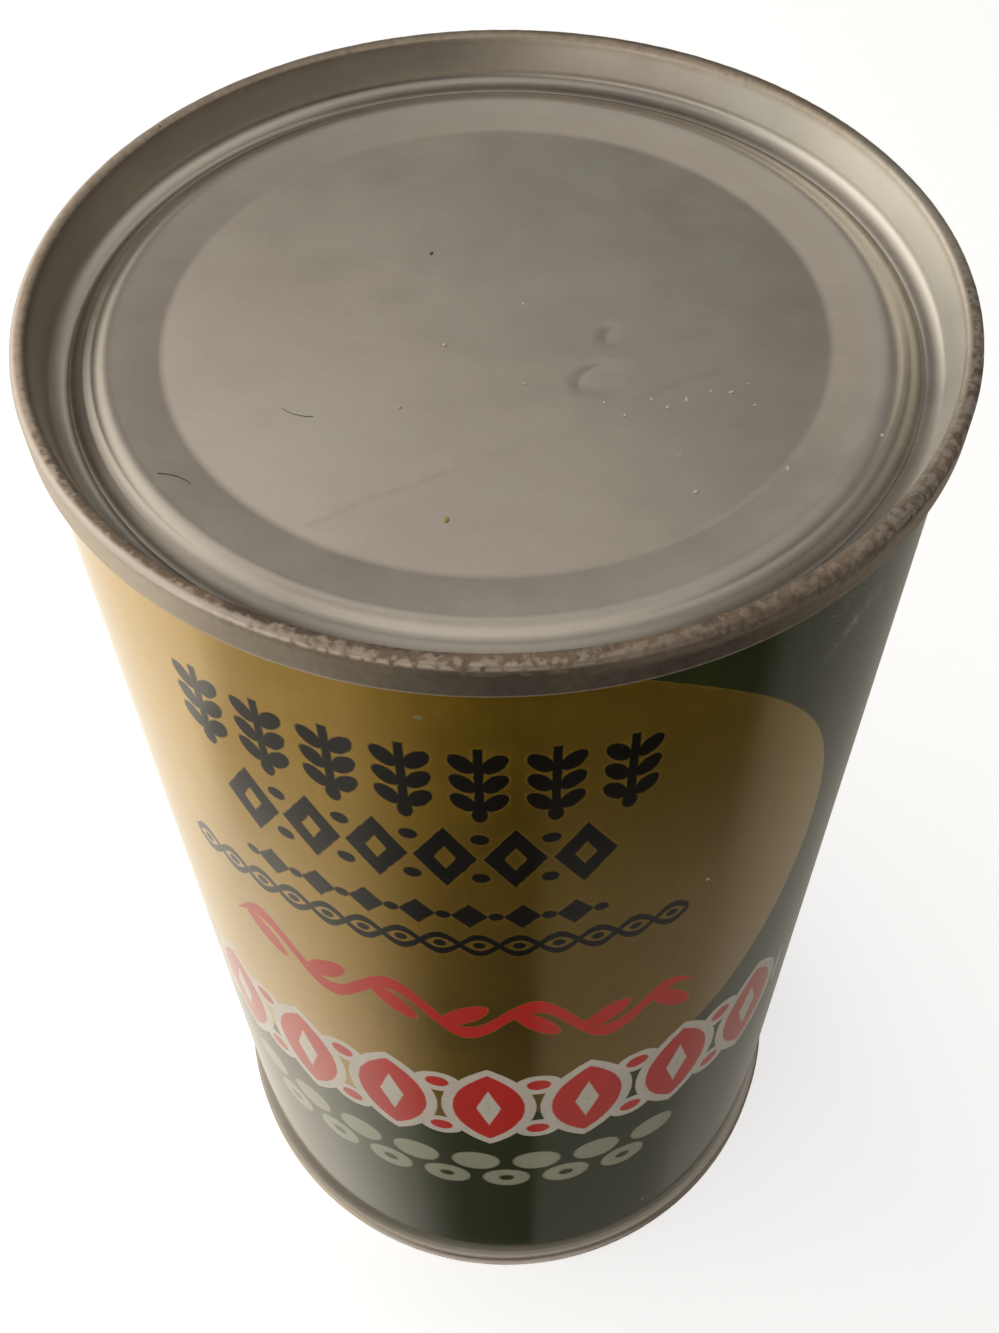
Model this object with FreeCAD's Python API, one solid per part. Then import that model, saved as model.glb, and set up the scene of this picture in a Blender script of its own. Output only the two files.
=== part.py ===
"""Closed steel drink can, standing on one of its two alike ends.

Millimetres, +Z up. The origin is the centre of the circle on which the can stands.
The printed body and the two pressed ends are separate solids that meet face to face.
The can is shut, so the body is solid up to the underside of each end's sheet.
"""

import FreeCAD
import Part

import math
import os

# The whole can.
can_height = 122.2  # from the crest of one seam to the crest of the other
body_diameter = 66.6  # outside of the straight printed wall

# The double seam that folds each end's sheet round the body's edge.
seam_height = 3.1  # from its crest to its lower edge
seam_overhang = 0.85  # how far it stands out from the body's wall
seam_thickness = 1.15  # across its folded layers at the crest
crest_radius = 0.45  # rounding of both edges of the crest
hem_radius = 0.3  # rounding of the seam's lower edge

# The pressed sheet inside the seam. Widths run inwards and depths run down from the crest.
sheet_thickness = 0.3
chuck_wall_lean = 1.0  # how far the seam's inner wall leans in on its way down
groove_clearance = 0.9  # from the seam's lower edge down to the bottom of the ring-shaped groove
groove_floor = 1.3  # width of the groove's bottom between its corners
groove_radius = 0.5  # rounding of both corners of the groove's bottom
groove_rise_width = 1.6  # from the groove's bottom to the shoulder
shoulder_rise = 1.05  # from the groove's bottom up to the shoulder, the sheet's highest ring
shoulder_radius = 1.9  # rounding of the shoulder
cone_width = 4.75  # ring that slopes gently down from the shoulder to the flat middle
cone_drop = 0.55
cone_foot_radius = 0.8  # rounding where the sloping ring meets the flat middle

body_radius = body_diameter / 2
seam_radius = body_radius + seam_overhang
groove_depth = seam_height + groove_clearance
shoulder_depth = groove_depth - shoulder_rise


def unit(start, end):
    """Unit vector from one point of a profile to another."""
    length = math.dist(start, end)
    return ((end[0] - start[0]) / length, (end[1] - start[1]) / length)


def rounded_edges(corners):
    """Edges of a profile line through corners, each (radius from the axis, height, rounding)."""
    edges = []
    here = corners[0][:2]
    for before, corner, after in zip(corners, corners[1:], corners[2:]):
        x, z, rounding = corner
        back = unit(corner, before)
        ahead = unit(corner, after)
        cosine = back[0] * ahead[0] + back[1] * ahead[1]
        half_angle = math.acos(max(-1.0, min(1.0, cosine))) / 2
        reach = rounding / math.tan(half_angle)
        bulge = rounding / math.sin(half_angle) - rounding
        middle = unit((0, 0), (back[0] + ahead[0], back[1] + ahead[1]))
        entry = (x + back[0] * reach, z + back[1] * reach)
        top = (x + middle[0] * bulge, z + middle[1] * bulge)
        leave = (x + ahead[0] * reach, z + ahead[1] * reach)
        edges.append(straight(here, entry))
        if rounding > 0:
            edges.append(Part.Arc(point(entry), point(top), point(leave)).toShape())
        here = leave
    edges.append(straight(here, corners[-1][:2]))
    return edges


def point(place):
    """A profile's (radius, height) as a point of the XZ plane."""
    return FreeCAD.Vector(place[0], 0, place[1])


def straight(start, end):
    """Straight edge between two points of a profile."""
    return Part.makeLine(point(start), point(end))


def revolved(edges):
    """Solid that a closed profile sweeps out round the can's axis."""
    face = Part.Face(Part.Wire(edges))
    return face.revolve(FreeCAD.Vector(0, 0, 0), FreeCAD.Vector(0, 0, 1), 360)


def sheet_corners():
    """Corners of the sheet's outer side from the crest to the centre: (radius, depth, rounding).

    A rounding is negative where the sheet forms a valley, seen from outside the can.
    """
    wall_top = seam_radius - seam_thickness
    groove_outer = wall_top - chuck_wall_lean
    groove_inner = groove_outer - groove_floor
    shoulder = groove_inner - groove_rise_width
    cone_foot = shoulder - cone_width
    middle_depth = shoulder_depth + cone_drop
    return [
        (wall_top, 0, crest_radius),
        (groove_outer, groove_depth, -groove_radius),
        (groove_inner, groove_depth, -groove_radius),
        (shoulder, shoulder_depth, shoulder_radius),
        (cone_foot, middle_depth, -cone_foot_radius),
        (0, middle_depth, 0),
    ]


def underside_corners():
    """Corners of the sheet's inner side, one thickness below the outer side, seam's edge first."""
    outer = sheet_corners()
    normals = []
    for start, end in zip(outer, outer[1:]):
        along = unit(start, end)
        normals.append((along[1], -along[0]))
    inner = []
    for corner, before, after in zip(outer[1:], normals, normals[1:]):
        share = sheet_thickness / (1 + before[0] * after[0] + before[1] * after[1])
        x = corner[0] + (before[0] + after[0]) * share
        depth = corner[1] + (before[1] + after[1]) * share
        inner.append((x, depth, abs(corner[2] - sheet_thickness)))
    wall = unit(outer[0], outer[1])
    first = inner[0]
    below_seam = first[1] - seam_height
    start = (first[0] - wall[0] / wall[1] * below_seam, seam_height, 0)
    centre = (0, outer[-1][1] + sheet_thickness, 0)
    return [start] + inner + [centre]


def upper_height(depth):
    """Height of a place on the upper end, from its depth below that end's crest."""
    return can_height - depth


def lower_height(depth):
    """Height of a place on the lower end, from its distance to that end's crest."""
    return depth


def placed(corners, height):
    """Corners given by depth, as rounded corners of the profile at one end of the can."""
    return [(x, height(depth), abs(rounding)) for x, depth, rounding in corners]


def end_solid(height):
    """One end: the seam with its rounded crest, and the pressed sheet inside it."""
    underside = underside_corners()
    seam_line = [
        (body_radius, seam_height, 0),
        (seam_radius, seam_height, hem_radius),
        (seam_radius, 0, crest_radius),
    ]
    outline = [underside[0]] + seam_line + sheet_corners()
    edges = rounded_edges(placed(outline, height))
    edges += rounded_edges(placed(underside[::-1], height))
    middle = outline[-1][1]
    edges.append(straight((0, height(middle)), (0, height(middle + sheet_thickness))))
    return revolved(Part.__sortEdges__(edges))


def body_solid():
    """The filled body between the two sheets, with its straight printed wall."""
    underside = underside_corners()
    rim = (body_radius, seam_height, 0)
    top = placed(underside[::-1] + [rim], upper_height)
    bottom = placed([rim] + underside, lower_height)
    edges = rounded_edges(top)
    edges.append(straight(top[-1], bottom[0]))
    edges += rounded_edges(bottom)
    edges.append(straight(bottom[-1], top[0]))
    return revolved(Part.__sortEdges__(edges))


def main():
    """Builds the three pieces and writes each to its own file."""
    pieces = {
        "can_body": body_solid(),
        "upper_end": end_solid(upper_height),
        "lower_end": end_solid(lower_height),
    }
    os.makedirs("parts", exist_ok=True)
    for name, shape in pieces.items():
        shape.exportStep(f"parts/{name}.step")
        box = shape.BoundBox
        print(name, shape.isValid(), len(shape.Solids), round(shape.Volume, 1), box)


main()
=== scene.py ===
"""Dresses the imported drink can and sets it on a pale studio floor.

The can stands on one of its two alike ends. Its wall carries a two-sided print: a round
gold field on dark green, with rows of plain ornament. Both ends are pressed from tinplate
and folded over the wall's edge in a seam that has rusted in spots.
"""

import functools
import itertools
import logging
import math
import random
from collections.abc import Callable, Sequence
from dataclasses import dataclass
from enum import Enum

import bmesh
import bpy
from mathutils import Matrix, Vector


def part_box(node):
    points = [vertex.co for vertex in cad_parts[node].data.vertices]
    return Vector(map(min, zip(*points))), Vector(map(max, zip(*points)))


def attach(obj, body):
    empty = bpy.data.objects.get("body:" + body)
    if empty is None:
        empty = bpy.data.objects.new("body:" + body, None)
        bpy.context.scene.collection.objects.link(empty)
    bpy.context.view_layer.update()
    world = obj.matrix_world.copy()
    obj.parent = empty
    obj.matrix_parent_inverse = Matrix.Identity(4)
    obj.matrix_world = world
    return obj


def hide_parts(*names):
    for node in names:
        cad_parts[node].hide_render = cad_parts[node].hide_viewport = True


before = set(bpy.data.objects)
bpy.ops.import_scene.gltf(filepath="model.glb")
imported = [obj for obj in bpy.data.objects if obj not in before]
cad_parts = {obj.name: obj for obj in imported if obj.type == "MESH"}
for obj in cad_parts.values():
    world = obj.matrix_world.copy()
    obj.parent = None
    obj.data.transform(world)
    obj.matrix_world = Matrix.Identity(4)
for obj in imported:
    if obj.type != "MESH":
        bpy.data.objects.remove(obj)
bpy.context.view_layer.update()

MM = 0.001
BODY = "root"
# Half of a corner's angle past which the line counts as straight.
STRAIGHT = math.radians(89.9)

# Places of pale dust on the upper end, in millimetres.
PALE_DUST = (
    (3.2, -6.0), (22.0, -11.2), (19.3, -5.3), (9.0, -6.9), (12.2, -6.0), (14.6, -5.6),
    (16.2, -4.4), (17.6, -4.3), (10.6, -7.9), (28.0, -7.2), (1.6, 2.5), (-4.9, -9.9),
    (13.4, -6.6), (14.8, -11.1), (18.7, -3.2), (22.0, -11.0), (16.2, -14.3), (-3.2, -3.0),
)

logging.basicConfig(level=logging.INFO, format="%(relativeCreated)d ms  %(message)s")
log = logging.getLogger("can")

Point = tuple[float, float]
Corner = tuple[float, float, float]
Colour = tuple[float, float, float]
Test = Callable[[Vector], bool]
Lie = Callable[[float, float], Vector]
Piece = bpy.types.Object
Tree = bpy.types.NodeTree
Material = bpy.types.Material


# ---------------------------------------------------------------- modelling by hand


class Bench:
    """The modelling steps that every piece shares."""

    @staticmethod
    def clear() -> None:
        """Leaves edit mode and lets go of everything that is selected."""
        if bpy.context.object and bpy.context.object.mode != "OBJECT":
            bpy.ops.object.mode_set(mode="OBJECT")
        bpy.ops.object.select_all(action="DESELECT")

    @staticmethod
    def take(piece: Piece) -> None:
        """Makes a piece the only selected and the active one.

        Args:
            piece: The object that the next operators work on.
        """
        Bench.clear()
        piece.select_set(True)
        bpy.context.view_layer.objects.active = piece

    @staticmethod
    def named(name: str) -> Piece:
        """Names the object that was just added.

        Args:
            name: Name of the piece and of its mesh.

        Returns:
            The active object.
        """
        piece = bpy.context.object
        piece.name = name
        piece.data.name = name
        return piece

    @staticmethod
    def pick_faces(piece: Piece, test: Test) -> None:
        """Selects faces by their place, in edit mode.

        Args:
            piece: The object in edit mode.
            test: Says of a face's middle whether the face is chosen.
        """
        bpy.ops.mesh.select_mode(type="FACE")
        bpy.ops.mesh.select_all(action="DESELECT")
        shape = bmesh.from_edit_mesh(piece.data)
        for face in shape.faces:
            if test(face.calc_center_median()):
                face.select_set(True)
        shape.select_flush(True)
        bmesh.update_edit_mesh(piece.data)

    @staticmethod
    def settle(piece: Piece) -> None:
        """Puts the piece's place, turn and scale into its mesh."""
        Bench.take(piece)
        bpy.ops.object.transform_apply(location=True, rotation=True, scale=True)

    @staticmethod
    def smooth(piece: Piece, degrees: float) -> None:
        """Shades a piece smoothly, except over edges that turn by more than the angle."""
        Bench.take(piece)
        bpy.ops.object.shade_smooth_by_angle(angle=math.radians(degrees))

    @staticmethod
    def face_out() -> None:
        """Turns every face of the piece in edit mode outwards, and leaves edit mode."""
        bpy.ops.mesh.select_all(action="SELECT")
        bpy.ops.mesh.normals_make_consistent(inside=False)
        Bench.clear()

    @staticmethod
    def displace(piece: Piece, group: str, height: float, grain: float) -> None:
        """Roughens a group of vertices with cloudy relief and applies it.

        Args:
            piece: A mesh object with the vertex group.
            group: The group whose weights scale the relief.
            height: From the lowest to the highest place, in metres.
            grain: Size of the cloud pattern, in metres.
        """
        Bench.take(piece)
        clouds = bpy.data.textures.new(f"{piece.name}_{group}", "CLOUDS")
        clouds.noise_scale = grain
        clouds.noise_depth = 2
        relief = piece.modifiers.new("relief", "DISPLACE")
        relief.texture = clouds
        relief.texture_coords = "LOCAL"
        relief.vertex_group = group
        relief.strength = height
        relief.mid_level = 0.5
        bpy.ops.object.modifier_apply(modifier=relief.name)

    @staticmethod
    def sink(piece: Piece, group: str, depth: float) -> None:
        """Lowers a group of vertices by their weights and applies it.

        Args:
            piece: A mesh object with the vertex group.
            group: The group whose weights scale the depth.
            depth: How far a full weight goes down, in metres.
        """
        Bench.take(piece)
        press = piece.modifiers.new("press", "DISPLACE")
        press.direction = "Z"
        press.vertex_group = group
        press.mid_level = 0
        press.strength = -depth
        bpy.ops.object.modifier_apply(modifier=press.name)

    @staticmethod
    def weigh(piece: Piece, group: str, weight: Callable[[Vector], float]) -> None:
        """Makes a vertex group from a weight at each vertex's place.

        Args:
            piece: A mesh object.
            group: Name of the new group.
            weight: Gives a weight from 0 to 1 for a place.
        """
        made = piece.vertex_groups.new(name=group)
        for vert in piece.data.vertices:
            share = weight(vert.co)
            if share > 0:
                made.add([vert.index], share, "REPLACE")


def eased(share: float) -> float:
    """Eases a value between 0 and 1, and holds it there outside."""
    share = max(0.0, min(1.0, share))
    return share * share * (3 - 2 * share)


def unit(start: Point, end: Point) -> Point:
    """Gives the unit vector from one point of a profile to another."""
    length = math.dist(start, end)
    return ((end[0] - start[0]) / length, (end[1] - start[1]) / length)


def rounded_line(corners: Sequence[Corner], step: float) -> list[Point]:
    """Walks along a line whose corners are rounded.

    Args:
        corners: Each corner's two coordinates and the radius of its rounding.
        step: Longest distance between two points of the walk.

    Returns:
        The points of the walk, the first and the last corner among them.
    """
    points = [corners[0][:2]]
    for before, corner, after in zip(corners, corners[1:], corners[2:]):
        x, y, rounding = corner
        back, ahead = unit(corner, before), unit(corner, after)
        half = math.acos(max(-1.0, min(1.0, back[0] * ahead[0] + back[1] * ahead[1]))) / 2
        if rounding <= 0 or half > STRAIGHT:
            straight_walk(points, (x, y), step)
            continue
        reach = rounding / math.tan(half)
        middle = unit((0, 0), (back[0] + ahead[0], back[1] + ahead[1]))
        centre = (
            x + middle[0] * rounding / math.sin(half),
            y + middle[1] * rounding / math.sin(half),
        )
        entry = (x + back[0] * reach, y + back[1] * reach)
        straight_walk(points, entry, step)
        first = math.atan2(entry[1] - centre[1], entry[0] - centre[0])
        leave = (y + ahead[1] * reach - centre[1], x + ahead[0] * reach - centre[0])
        sweep = (math.atan2(*leave) - first + math.pi) % math.tau - math.pi
        pieces = max(3, math.ceil(abs(sweep) * rounding / step))
        for i in range(1, pieces + 1):
            angle = first + sweep * i / pieces
            out = (math.cos(angle), math.sin(angle))
            points.append((centre[0] + rounding * out[0], centre[1] + rounding * out[1]))
    straight_walk(points, corners[-1][:2], step)
    return points


def straight_walk(points: list[Point], goal: Point, step: float) -> None:
    """Adds evenly spaced points from the last one to a goal.

    Args:
        points: The walk so far, which grows.
        goal: Where the stretch ends.
        step: Longest distance between two points.
    """
    start = points[-1]
    pieces = max(1, math.ceil(math.dist(start, goal) / step))
    for i in range(1, pieces + 1):
        share = i / pieces
        x = start[0] + (goal[0] - start[0]) * share
        points.append((x, start[1] + (goal[1] - start[1]) * share))


# ---------------------------------------------------------------- shader arithmetic


class Term:
    """A shader socket that can be used in plain arithmetic."""

    def __init__(self, tree: Tree, socket: bpy.types.NodeSocket) -> None:
        """Wraps a socket of a node tree."""
        self.tree = tree
        self.socket = socket

    def math(self, operation: str, *others: "Term | float") -> "Term":
        """Feeds this term, and others, through one Math node.

        Args:
            operation: Blender's name of the operation.
            others: The further inputs, in order.

        Returns:
            The node's result.
        """
        node = self.tree.nodes.new("ShaderNodeMath")
        node.operation = operation
        for slot, value in zip(node.inputs, (self, *others)):
            feed(self.tree, slot, value)
        return Term(self.tree, node.outputs[0])

    def __add__(self, other: "Term | float") -> "Term":
        """Adds."""
        return self.math("ADD", other)

    def __sub__(self, other: "Term | float") -> "Term":
        """Subtracts."""
        return self.math("SUBTRACT", other)

    def __mul__(self, other: "Term | float") -> "Term":
        """Multiplies."""
        return self.math("MULTIPLY", other)

    def __truediv__(self, other: "Term | float") -> "Term":
        """Divides."""
        return self.math("DIVIDE", other)

    def __rsub__(self, other: float) -> "Term":
        """Subtracts this term from a number."""
        return (self * -1) + other

    __radd__ = __add__
    __rmul__ = __mul__

    def abs(self) -> "Term":
        """Drops the sign."""
        return self.math("ABSOLUTE")

    def least(self, other: "Term | float") -> "Term":
        """Takes the smaller of two."""
        return self.math("MINIMUM", other)

    def most(self, other: "Term | float") -> "Term":
        """Takes the larger of two."""
        return self.math("MAXIMUM", other)

    def wrapped(self, period: float) -> "Term":
        """Repeats the coordinate in cells, each centred on 0."""
        return self.math("WRAP", period / 2, -period / 2)

    def sine(self, period: float) -> "Term":
        """Takes the sine of a wave of the given length."""
        return (self * (math.tau / period)).math("SINE")

    def ramp(self, low: float, high: float, to_low: float = 0.0, to_high: float = 1.0) -> "Term":
        """Turns a range of values softly into another.

        Args:
            low: Value where the ramp starts.
            high: Value where it ends.
            to_low: Result up to the start.
            to_high: Result past the end.

        Returns:
            The softened value.
        """
        node = self.tree.nodes.new("ShaderNodeMapRange")
        node.interpolation_type = "SMOOTHSTEP"
        feed(self.tree, node.inputs["Value"], self)
        node.inputs["From Min"].default_value = low
        node.inputs["From Max"].default_value = high
        node.inputs["To Min"].default_value = to_low
        node.inputs["To Max"].default_value = to_high
        return Term(self.tree, node.outputs["Result"])

    def ink(self, edge: float) -> "Term":
        """Turns a distance into a mask: 1 inside the outline and 0 outside."""
        return self.ramp(edge, -edge)


def feed(tree: Tree, slot: bpy.types.NodeSocket, value: "Term | float | Colour") -> None:
    """Links a term to an input, or sets the input's own value.

    Args:
        tree: The node tree.
        slot: The input.
        value: The term, number or colour that it gets.
    """
    if isinstance(value, Term):
        tree.links.new(value.socket, slot)
    elif isinstance(value, tuple):
        slot.default_value = (*value, 1.0) if slot.type == "RGBA" else value
    else:
        slot.default_value = value


def mixed(tree: Tree, share: Term, low: "Term | Colour", high: "Term | Colour") -> Term:
    """Mixes two colours.

    Args:
        tree: The node tree.
        share: 0 gives the first colour and 1 the second.
        low: The first colour.
        high: The second colour.

    Returns:
        The mixed colour.
    """
    node = tree.nodes.new("ShaderNodeMix")
    node.data_type = "RGBA"
    feed(tree, node.inputs["Factor"], share)
    feed(tree, node.inputs[6], low)
    feed(tree, node.inputs[7], high)
    return Term(tree, node.outputs[2])


def tinted(tree: Tree, colour: Term, tone: Term) -> Term:
    """Makes a colour lighter or darker.

    Args:
        tree: The node tree.
        colour: The colour.
        tone: What it is multiplied by.

    Returns:
        The changed colour.
    """
    node = tree.nodes.new("ShaderNodeVectorMath")
    node.operation = "SCALE"
    feed(tree, node.inputs[0], colour)
    feed(tree, node.inputs["Scale"], tone)
    return Term(tree, node.outputs[0])


def length(x: Term, y: Term) -> Term:
    """Gives the distance of a point from the origin."""
    return (x * x + y * y).math("SQRT")


class Effect:
    """A node group that several finishes share. It gives out one mask or value."""

    def __init__(self, name: str, inputs: Sequence[str]) -> None:
        """Starts the group with a place, further inputs and one value out.

        Args:
            name: Name of the group.
            inputs: Names of the further inputs, each a number.
        """
        self.tree = bpy.data.node_groups.new(name, "ShaderNodeTree")
        interface = self.tree.interface
        interface.new_socket("Place", in_out="INPUT", socket_type="NodeSocketVector")
        for label in inputs:
            interface.new_socket(label, in_out="INPUT", socket_type="NodeSocketFloat")
        interface.new_socket("Value", in_out="OUTPUT", socket_type="NodeSocketFloat")
        self.entry = self.tree.nodes.new("NodeGroupInput")
        self.leave = self.tree.nodes.new("NodeGroupOutput")

    def given(self, name: str) -> Term:
        """Gives one of the group's inputs."""
        return Term(self.tree, self.entry.outputs[name])

    def gives(self, value: Term) -> Tree:
        """Sets what the group gives out, and returns the group."""
        feed(self.tree, self.leave.inputs["Value"], value)
        return self.tree


def speck_effect() -> Tree:
    """Builds the effect that scatters round specks of dust or rust.

    Returns:
        The node group.
    """
    effect = Effect("specks", ("Grain", "Size", "Share"))
    tree = effect.tree
    node = tree.nodes.new("ShaderNodeTexVoronoi")
    tree.links.new(effect.entry.outputs["Place"], node.inputs["Vector"])
    feed(tree, node.inputs["Scale"], effect.given("Grain").math("POWER", -1.0) * (1 / MM))
    pick = tree.nodes.new("ShaderNodeSeparateColor")
    tree.links.new(node.outputs["Color"], pick.inputs[0])
    chance, scale = (Term(tree, pick.outputs[i]) for i in (0, 1))
    size = effect.given("Size") * (scale * 0.7 + 0.3)
    solid = 1 - Term(tree, node.outputs["Distance"]) / size
    kept = chance.math("LESS_THAN", effect.given("Share"))
    return effect.gives((solid * 3).least(1.0).most(0.0) * kept)


def smudge_effect() -> Tree:
    """Builds the effect of uneven grime and finger marks, from about -1 to 1.

    Returns:
        The node group.
    """
    effect = Effect("smudges", ("Grain",))
    tree = effect.tree
    total = None
    for share, detail, part in ((1.0, 3.0, 1.3), (0.18, 2.0, 0.7)):
        node = tree.nodes.new("ShaderNodeTexNoise")
        node.inputs["Detail"].default_value = detail
        tree.links.new(effect.entry.outputs["Place"], node.inputs["Vector"])
        feed(tree, node.inputs["Scale"], (effect.given("Grain") * (share * MM)).math("POWER", -1.0))
        layer = (Term(tree, node.outputs[0]) - 0.5) * (2 * part)
        total = total + layer if total else layer
    return effect.gives(total)


class Recipe:
    """One material while it is being put together."""

    def __init__(self, name: str) -> None:
        """Starts a material with a Principled shader and object coordinates.

        Args:
            name: Name of the material.
        """
        self.material = bpy.data.materials.new(name)
        self.material.use_nodes = True
        self.tree = self.material.node_tree
        self.shader = self.tree.nodes["Principled BSDF"]
        place = self.tree.nodes.new("ShaderNodeTexCoord")
        self.place = Term(self.tree, place.outputs["Object"])
        split = self.tree.nodes.new("ShaderNodeSeparateXYZ")
        self.tree.links.new(place.outputs["Object"], split.inputs[0])
        self.x, self.y, self.z = (Term(self.tree, out) * (1 / MM) for out in split.outputs)

    def noise(self, grain: float, detail: float = 2.0, stretch: Sequence[float] = (1, 1, 1)) -> Term:
        """Makes a noise value from about 0 to 1.

        Args:
            grain: Size of the pattern in millimetres.
            detail: Octaves of finer pattern.
            stretch: How much longer the pattern is along each axis.

        Returns:
            The noise.
        """
        scaled = self.tree.nodes.new("ShaderNodeMapping")
        scaled.inputs["Scale"].default_value = [1 / (grain * MM * share) for share in stretch]
        self.tree.links.new(self.place.socket, scaled.inputs["Vector"])
        node = self.tree.nodes.new("ShaderNodeTexNoise")
        node.inputs["Scale"].default_value = 1.0
        node.inputs["Detail"].default_value = detail
        self.tree.links.new(scaled.outputs[0], node.inputs["Vector"])
        return Term(self.tree, node.outputs[0])

    def effect(self, group: Tree, **values: float) -> Term:
        """Uses a shared effect on this finish.

        Args:
            group: The effect's node group.
            values: Settings of the effect.

        Returns:
            What the effect gives out.
        """
        node = self.tree.nodes.new("ShaderNodeGroup")
        node.node_tree = group
        self.tree.links.new(self.place.socket, node.inputs["Place"])
        for name, value in values.items():
            node.inputs[name].default_value = value
        return Term(self.tree, node.outputs["Value"])

    def crease_line(self, start: Point, end: Point, half_width: float, veer: Term) -> Term:
        """Draws the mask of a soft crease line on a level surface, where shade is painted.

        Args:
            start: Where it starts, in millimetres.
            end: Where it ends.
            half_width: Half of its width.
            veer: How far it strays to the side.

        Returns:
            A mask that is 1 along the line.
        """
        run = math.dist(start, end)
        along, across = unit(start, end), unit(start, end)[::-1]
        x, y = self.x - start[0], self.y - start[1]
        forward = x * along[0] + y * along[1]
        aside = (x * across[0] - y * across[1] + veer).abs()
        beyond = (forward - run / 2).abs() - run / 2
        return aside.most(beyond).ramp(half_width, 0)

    def bump(self, height: Term, strength: float, distance: float) -> None:
        """Gives the shader relief from a height.

        Args:
            height: The height, from about 0 to 1.
            strength: How strongly it shows.
            distance: What a height of 1 stands for, in millimetres.
        """
        node = self.tree.nodes.new("ShaderNodeBump")
        node.inputs["Strength"].default_value = strength
        node.inputs["Distance"].default_value = distance * MM
        self.tree.links.new(height.socket, node.inputs["Height"])
        self.tree.links.new(node.outputs[0], self.shader.inputs["Normal"])

    def put(self, **values: "Term | float | Colour") -> None:
        """Sets inputs of the shader, named with underscores for spaces."""
        for name, value in values.items():
            feed(self.tree, self.shader.inputs[name.replace("_", " ")], value)


# ---------------------------------------------------------------- finishes


@dataclass(frozen=True)
class Row:
    """Where a row of ornament lies on the print. Lengths are millimetres."""

    depth: float
    pitch: float
    half_count: float

    def below(self, depth: Term) -> Term:
        """Gives how far a place lies below the row's middle."""
        return depth - self.depth

    def ends(self, u: Term) -> Term:
        """Gives the distance past the row's ends, less than 0 within them."""
        return u.abs() - self.half_count * self.pitch


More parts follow.
